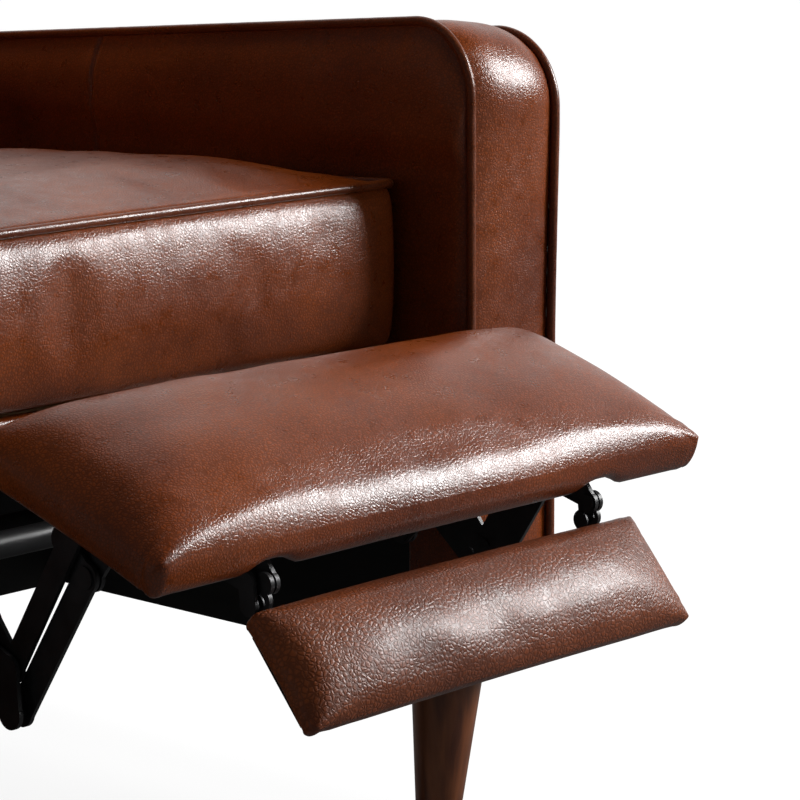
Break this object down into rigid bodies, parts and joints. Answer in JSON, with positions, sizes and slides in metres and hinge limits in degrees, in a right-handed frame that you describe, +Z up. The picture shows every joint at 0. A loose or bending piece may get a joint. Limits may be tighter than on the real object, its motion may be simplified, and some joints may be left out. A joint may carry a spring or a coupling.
{
  "type": "pushback recliner",
  "caption": "Track-arm pushback recliner in brown leather with loose box seat cushion, folding footrest with flipper pad, swing linkage and tapered wooden legs.",
  "frame": {"origin": "on the floor, under the middle of the whole chair as pictured, with the footrest out", "axes": "+Z up, +Y towards the back of the chair, +X across it to the right arm as seen from the front, X = 0 is the plane of symmetry"},
  "size_m": [0.6638, 1.1296, 1.0124],
  "materials": {
    "leather": "fine pebble grain, soft sheen",
    "piping": "folded leather over cord",
    "plywood": "raw plywood",
    "panel_black": "plywood stained black",
    "frame_wood": "raw sawn hardwood",
    "leg_wood": "stained walnut brown, satin varnish",
    "black_steel": "black powder coat",
    "zinc_steel": "zinc plated",
    "spring_steel": "drawn wire",
    "webbing": "woven elastic webbing",
    "glide": "moulded"
  },
  "bodies": {
    "base": {"arm_cover_l": "leather", "arm_cover_r": "leather", "arm_piping_l": "piping", "arm_piping_r": "piping", "arm_panel_l": "panel_black", "arm_panel_r": "panel_black", "cross_rails": "frame_wood", "leg_fl": "leg_wood", "leg_fr": "leg_wood", "leg_rl": "leg_wood", "leg_rr": "leg_wood", "glides": "glide", "base_plate_l": "black_steel", "base_plate_r": "black_steel", "base_bolts": "zinc_steel", "base_tube": "black_steel", "drive_arms": "black_steel", "swing_pins": "zinc_steel"},
    "front_swing": {"front_swing_links": "black_steel"},
    "rear_swing": {"rear_swing_links": "black_steel"},
    "seat": {"seat_rail_l": "black_steel", "seat_rail_r": "black_steel", "seat_tubes": "black_steel", "seat_side_rails": "frame_wood", "seat_cross_rails": "frame_wood", "seat_springs": "spring_steel", "spring_clips": "zinc_steel", "seat_border": "leather", "seat_cushion": "leather", "link_pins": "zinc_steel", "back_hinges": "black_steel"},
    "back": {"back_posts": "frame_wood", "back_rails": "frame_wood", "back_webbing": "webbing", "back_cushion": "leather", "back_cover": "leather"},
    "rear_link": {"rear_links": "black_steel", "torque_tube": "black_steel"},
    "front_link": {"front_links": "black_steel"},
    "upper_link": {"upper_links": "black_steel"},
    "lower_link": {"lower_links": "black_steel"},
    "footrest": {"footrest_board": "plywood", "footrest_pad": "leather", "footrest_brackets": "black_steel", "hinge_brackets": "black_steel"},
    "flipper": {"flipper_board": "plywood", "flipper_pad": "leather", "flipper_brackets": "black_steel"},
    "flipper_link": {"flipper_links": "black_steel"}
  },
  "joints": [
    {"name": "seat_swing", "type": "hinge", "parent": "base", "child": "front_swing", "pos_m": [0, -0.02328, 0.30039], "axis": [1, 0, 0], "range_deg": [-35, 0]},
    {"name": "rear_swing_turn", "type": "hinge", "parent": "base", "child": "rear_swing", "pos_m": [0, 0.22172, 0.30039], "axis": [1, 0, 0], "range_deg": [-35, 0]},
    {"name": "seat_turn", "type": "hinge", "parent": "front_swing", "child": "seat", "pos_m": [0, 0.01837, 0.215], "axis": [1, 0, 0], "range_deg": [0, 35]},
    {"name": "back_recline", "type": "hinge", "parent": "seat", "child": "back", "pos_m": [0, 0.32837, 0.4], "axis": [1, 0, 0], "range_deg": [-26, 8]},
    {"name": "rear_link_turn", "type": "hinge", "parent": "seat", "child": "rear_link", "pos_m": [0, -0.12563, 0.31], "axis": [1, 0, 0], "range_deg": [0, 82.61]},
    {"name": "front_link_turn", "type": "hinge", "parent": "seat", "child": "front_link", "pos_m": [0, -0.20163, 0.31], "axis": [1, 0, 0], "range_deg": [0, 82.61]},
    {"name": "upper_link_turn", "type": "hinge", "parent": "front_link", "child": "upper_link", "pos_m": [0, -0.35163, 0.24], "axis": [1, 0, 0], "range_deg": [-82.61, 0]},
    {"name": "lower_link_turn", "type": "hinge", "parent": "front_link", "child": "lower_link", "pos_m": [0, -0.35353, 0.2129], "axis": [1, 0, 0], "range_deg": [-85.56, 0]},
    {"name": "footrest_turn", "type": "hinge", "parent": "upper_link", "child": "footrest", "pos_m": [0, -0.41359, 0.33953], "axis": [1, 0, 0], "range_deg": [0, 71.48]},
    {"name": "flipper_fold", "type": "hinge", "parent": "footrest", "child": "flipper", "pos_m": [0, -0.49913, 0.3037], "axis": [1, 0, 0], "range_deg": [0, 115.3]},
    {"name": "flipper_link_turn", "type": "hinge", "parent": "lower_link", "child": "flipper_link", "pos_m": [0, -0.39313, 0.3234], "axis": [1, 0, 0], "range_deg": [0, 44.55]}
  ],
  "couplings": [
    {"joint": "rear_swing_turn", "follows": "seat_swing", "ratio": 1},
    {"joint": "seat_turn", "follows": "seat_swing", "ratio": -1},
    {"joint": "rear_link_turn", "follows": "seat_swing", "ratio": -2.3603},
    {"joint": "front_link_turn", "follows": "seat_swing", "ratio": -2.3603},
    {"joint": "upper_link_turn", "follows": "seat_swing", "ratio": 2.3603},
    {"joint": "lower_link_turn", "follows": "seat_swing", "ratio": 2.4444},
    {"joint": "footrest_turn", "follows": "seat_swing", "ratio": -2.0421},
    {"joint": "flipper_fold", "follows": "seat_swing", "ratio": -3.2943},
    {"joint": "flipper_link_turn", "follows": "seat_swing", "ratio": -1.2727}
  ]
}
